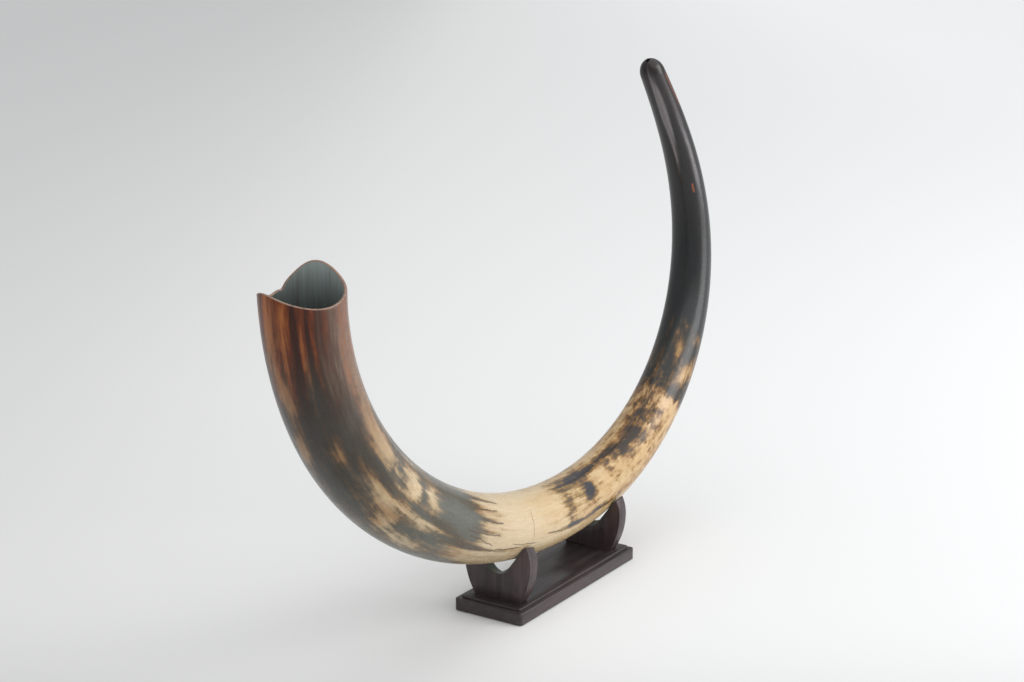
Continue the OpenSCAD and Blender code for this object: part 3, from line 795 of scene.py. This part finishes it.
# %% Stained wood
def stained_wood(name, grain, shades):
    """Wood in three shades. Its grain, three sizes in mm, runs along the axis with the longest."""
    material, tree, shader = new_material(name)
    place = add(tree, "TexCoord", out=3)
    bands = clouds(tree, stretched(tree, place, [6 * g for g in grain]), 3.0, 0.55)
    pores = clouds(tree, stretched(tree, place, grain), 4.0, 0.6)
    stain = ramp(tree, bands, list(zip((0.3, 0.5, 0.7), shades)))
    lines = ramp(tree, pores, [(0.36, "#6a5f5c"), (0.52, "#ffffff")])
    wood = mix(tree, 0.6, stain, lines, "MULTIPLY")
    edges = ramp(tree, add(tree, "NewGeometry", out=7), [(0.53, 0.0), (0.60, 0.4)])  # 7 is pointiness
    surface(shader, Base_Color=mix(tree, edges, wood, linear("#544544")),
            Roughness=ramp(tree, pores, [(0.3, 0.48), (0.6, 0.36)]), Normal=bump(tree, pores, 0.35, 0.12))
    return material


# painted light: the cradles' wood is a lighter copy of the board's, standing in for more light on their faces
wood_upright = stained_wood("stained_hardwood_upright", (1.0, 1.0, 24),
                            ("#312728", "#3f3233", "#4c3c3c"))
wood_lengthwise = stained_wood("stained_hardwood_lengthwise", (24, 1.0, 1.0),
                               ("#2b2526", "#372f2f", "#433939"))
print("woods:", wood_upright.name, "and", wood_lengthwise.name)

# %% [markdown]
# ## Softening the wood's edges
# A sanded edge is never sharp, and its small round catches the light. Each wooden piece starts as a
# copy of its construction mesh. Loose triangles are merged, flat areas are dissolved back into single
# faces, and only the edges that a hand can reach are bevelled, not those inside the joints.


# %% Helpers for the wooden pieces
TOUCH, OUTLINE_BAND, LEDGE_BAND = 0.02, 4, 3.2
EAR_ROUND, TOP_ROUND, LEDGE_ROUND = 0.6, 0.9, 1.2
edge_x, edge_y = BASE_L / 2 - STEP_W - 0.5, BASE_W / 2 - STEP_W - 0.5


def merged_copy(node):
    """A bmesh of a construction node with its points merged and its flat areas made single faces."""
    bm = bmesh.new()
    bm.from_mesh(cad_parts[node].data)
    bmesh.ops.remove_doubles(bm, verts=bm.verts, dist=0.002 * MM)
    bmesh.ops.dissolve_limit(bm, angle_limit=math.radians(0.5), verts=bm.verts, edges=bm.edges)
    return bm


def sharp(edge):
    """Whether two faces meet at an edge by more than 30 degrees."""
    return len(edge.link_faces) == 2 and edge.calc_face_angle(0) > math.radians(30)


def round_over(bm, chosen, width, steps=3):
    """Bevels the chosen sharp edges."""
    edges = [e for e in bm.edges if sharp(e) and chosen(e)]
    bmesh.ops.bevel(bm, geom=edges, offset=width * MM, segments=steps, affect="EDGES", profile=0.5,
                    material=-1, clamp_overlap=True)
    return len(edges)


def both(edge, test):
    """Whether both ends of an edge, in millimetres, pass a test."""
    return all(test(v.co / MM) for v in edge.verts)


def on_face(e, x):
    """Whether an edge runs along a face of the cradle at x, above the board."""
    face = e.verts[0].co.x / MM
    return (abs(abs(face - x) - CRADLE_T / 2) < TOUCH
            and both(e, lambda p: abs(p.x - face) < TOUCH and p.z > BASE_TOP - TOUCH)
            and not both(e, lambda p: p.z < BASE_TOP + TOUCH))


def on_outline(e, level):
    """Whether an edge of the board lies at a level and near its outline, away from the mortises."""
    return both(e, lambda p: abs(p.z - level) < TOUCH
                and (abs(p.x) > edge_x - OUTLINE_BAND or abs(p.y) > edge_y - OUTLINE_BAND))


print("edges are rounded by", EAR_ROUND, TOP_ROUND, "and", LEDGE_ROUND, "mm")

# %% [markdown]
# ## Cradles and board
# The cradles get their rounds along both faces. The board gets a round along its top edge and a larger
# one along the ledge of its step, while the mortises under the cradles stay sharp.

# %% Cradles and board
for node, x in (("front_cradle", -CRADLE_X), ("rear_cradle", CRADLE_X)):
    bm = merged_copy(node)
    count = round_over(bm, lambda e: on_face(e, x), EAR_ROUND)
    print(node, "edges rounded", count)
    piece = finish_piece(bm, node + "_wood", wood_upright, "stand", 35)
    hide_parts(node)

bm = merged_copy("base_board")
top = round_over(bm, lambda e: on_outline(e, BASE_TOP), TOP_ROUND)
ledge = round_over(bm, lambda e: on_outline(e, BASE_TOP - STEP_H) and both(e, lambda p: (
    abs(p.x) > BASE_L / 2 - LEDGE_BAND or abs(p.y) > BASE_W / 2 - LEDGE_BAND)), LEDGE_ROUND)
print("board edges rounded", top, ledge)
board = finish_piece(bm, "base_board_wood", wood_lengthwise, "stand", 35)
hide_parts("base_board")

# %% [markdown]
# ## Material: pressed wool felt
# Thin green-grey felt lines both notches and the underside of the board. Felt is pressed wool: matt,
# with a soft sheen at its edges and short fibres in all directions, which are clumps 0.8 mm wide here.

# %% Pressed wool felt
wool_felt, tree, shader = new_material("pressed_wool_felt")
place = add(tree, "TexCoord", out=3)
wool = clouds(tree, stretched(tree, place, (0.8, 0.8, 0.8)), 5.0, 0.7)
surface(shader, Base_Color=ramp(tree, wool, [(0.3, "#2b3329"), (0.7, "#4a5445")]), Roughness=0.95,
        Sheen_Weight=0.4, Normal=bump(tree, wool, 0.7, 0.2))
print(wool_felt.name, "has", len(tree.nodes), "nodes")

# %% [markdown]
# ## Felt in the notches
# Each strip is cut flat and glued into its notch. Its line is spun round the bottom of the notch and
# extruded up both flanks, and the line is extruded along the horn, cut off at the cradle's faces with
# two bisecting planes and given its thickness by a Solidify modifier. The notch follows the slope of
# the horn, so the line is drawn square to the horn's centreline and then turned into place.

# %% Helpers for the felt
LINER_T, LINER_DROP, NOTCH_R, FACE_CLEAR = 0.8, 0.5, 16.5, 0.2
NOTCH_HALF = math.radians(36.5)
EAR_Z = BASE_TOP + 58.5 - 1.3  # the ears' height, less their rounded tops
FELT_UNEVEN = 0.07
FELT_STEPS, FELT_CELL, STRIP_HALF = 24, 1.2, 18
NEAR_STAND = shares[60:160]  # steps of the centreline that lie over the board


def share_at(x):
    """The share of the horn's length whose centre lies over a place along the stand."""
    return float(np.interp(x, [centre(s).x for s in NEAR_STAND], NEAR_STAND))


def uneven(piece_bm, amount):
    """Pushes points a little in and out along their normals, as pressed wool is never quite even."""
    piece_bm.normal_update()
    for v in piece_bm.verts:
        v.co += v.normal * amount * MM * noise.noise(v.co / (3 * MM))


def thicken(piece, thickness):
    """Gives a sheet its thickness, half to each side."""
    solid = piece.modifiers.new("felt_thickness", "SOLIDIFY")
    solid.thickness, solid.offset = thickness * MM, 0.0


print("notches at shares", [round(share_at(x), 3) for x in (-CRADLE_X, CRADLE_X)], "of the horn")

# %% [markdown]
# ## Cutting and gluing the strips
# One function makes a strip and returns the length of its line. That length and the cradle's thickness
# are the flat size of the strip that a maker would cut.


# %% Felt strips
def felt_strip(name, x):
    """The felt of the notch at x, as a sheet at half its thickness, and the length of the strip in mm."""
    s = share_at(x)
    along, across, up = directions(s)
    widest = max(outer_radius(share_at(x - CRADLE_T / 2)), outer_radius(share_at(x + CRADLE_T / 2)))
    seat_r = max(outer_radius(s) + SEAT_CLEAR, widest + FACE_CLEAR) + LINER_T
    round_y = (NOTCH_R - seat_r) / math.sin(NOTCH_HALF)
    reach = NOTCH_R - LINER_T / 2
    bm = bmesh.new()
    first = bm.verts.new((reach * math.cos(NOTCH_HALF), round_y - reach * math.sin(NOTCH_HALF), 0))
    bmesh.ops.spin(bm, geom=[first], cent=(0, round_y, 0), axis=(0, 0, 1),
                   angle=2 * NOTCH_HALF - math.pi, steps=FELT_STEPS)
    ends = [v for v in bm.verts if len(v.link_edges) == 1]
    climb = (EAR_Z - centre(s).z - LINER_DROP - ends[0].co.y) / math.cos(NOTCH_HALF)
    tops = bmesh.ops.extrude_vert_indiv(bm, verts=ends)
    for v in tops["verts"]:
        v.co += Vector((math.copysign(math.sin(NOTCH_HALF), v.co.x), math.cos(NOTCH_HALF), 0)) * climb
    bmesh.ops.subdivide_edges(bm, edges=tops["edges"], cuts=int(climb / FELT_CELL))
    length = sum(e.calc_length() for e in bm.edges)
    bmesh.ops.translate(bm, verts=bm.verts, vec=(0, 0, -STRIP_HALF))
    line = list(bm.edges)
    for _ in range(2 * STRIP_HALF):
        points, line, _ = grow(bm, line)
        bmesh.ops.translate(bm, verts=points, vec=(0, 0, 1))
    turn = Matrix((across, up, along)).transposed().to_4x4()
    bmesh.ops.transform(bm, matrix=Matrix.Scale(MM, 4) @ Matrix.Translation(centre(s)) @ turn, verts=bm.verts)
    for side in (-1, 1):
        bmesh.ops.bisect_plane(bm, geom=[*bm.verts, *bm.edges, *bm.faces], dist=0.01 * MM, clear_outer=True,
                               plane_co=((x + side * CRADLE_T / 2) * MM, 0, 0), plane_no=(side, 0, 0))
    bmesh.ops.recalc_face_normals(bm, faces=bm.faces)
    uneven(bm, FELT_UNEVEN)
    piece = finish_piece(bm, name, wool_felt, "stand", 60)
    thicken(piece, LINER_T - 2 * FELT_UNEVEN)
    return piece, length


for node, x in (("front_liner", -CRADLE_X), ("rear_liner", CRADLE_X)):
    strip, length = felt_strip(node + "_felt", x)
    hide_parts(node)
    print(node, "strip", round(length, 1), "mm long, at slope", round(float(heading(share_at(x))), 1))

# %% [markdown]
# ## Felt under the board
# The sheet under the board is a cut rectangle with rounded corners. A square is stretched to its size,
# its corners are bevelled round, and it is cut into narrow strips both ways with bisecting planes, so
# that its cut edge can waver a little, as an edge cut with shears does.

# %% Base felt
SHEET_IN, SHEET_CORNER, STRIP_WIDTH, WAVER, WAVER_CELL = 2.5, 3.0, 4, 0.25, 7
half_x, half_y = BASE_L / 2 - SHEET_IN, BASE_W / 2 - SHEET_IN
bm = bmesh.new()
bmesh.ops.create_grid(bm, x_segments=1, y_segments=1, size=1.0)
bmesh.ops.scale(bm, vec=(half_x * MM, half_y * MM, 1), verts=bm.verts)
bmesh.ops.bevel(bm, geom=bm.verts, offset=SHEET_CORNER * MM, segments=6, affect="VERTICES", profile=0.5,
                material=-1)
for axis, half in ((0, half_x), (1, half_y)):
    for k in range(1, int(2 * half / STRIP_WIDTH)):
        at = Vector((0, 0, 0))
        at[axis] = (k * STRIP_WIDTH - half) * MM
        bmesh.ops.bisect_plane(bm, geom=[*bm.verts, *bm.edges, *bm.faces], dist=0.001 * MM, plane_co=at,
                               plane_no=(axis == 0, axis == 1, 0))
bmesh.ops.translate(bm, verts=bm.verts, vec=(0, 0, SHEET_T / 2 * MM))
for v in bm.verts:
    if v.is_boundary:
        inward = -Vector((v.co.x, v.co.y, 0)).normalized()
        v.co += inward * WAVER * MM * (1 + noise.noise(v.co / (WAVER_CELL * MM)))
sheet = finish_piece(bm, "base_felt_sheet", wool_felt, "stand", 60)
thicken(sheet, SHEET_T - 0.02)
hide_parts("base_felt")
print("base felt", 2 * half_y, "x", 2 * half_x, "mm")

# %% [markdown]
# ## Screws
# Four countersunk steel screws hold the cradles from below. They are zinc plated: a slightly blue,
# finely scratched grey metal.

# %% Zinc-plated screws
zinc_steel, tree, shader = new_material("zinc_plated_steel")
place = add(tree, "TexCoord", out=3)
spots = clouds(tree, stretched(tree, place, (1.2, 1.2, 1.2)), 4.0, 0.6)
surface(shader, Base_Color=ramp(tree, spots, [(0.3, "#b9bcc0"), (0.7, "#d3d5d6")]),
        Roughness=ramp(tree, spots, [(0.3, 0.28), (0.7, 0.42)]), Metallic=1.0)
for node in sorted(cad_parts):
    if "screw" in node:
        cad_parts[node].data.materials.clear()
        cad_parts[node].data.materials.append(zinc_steel)
        print(node, "is", zinc_steel.name)
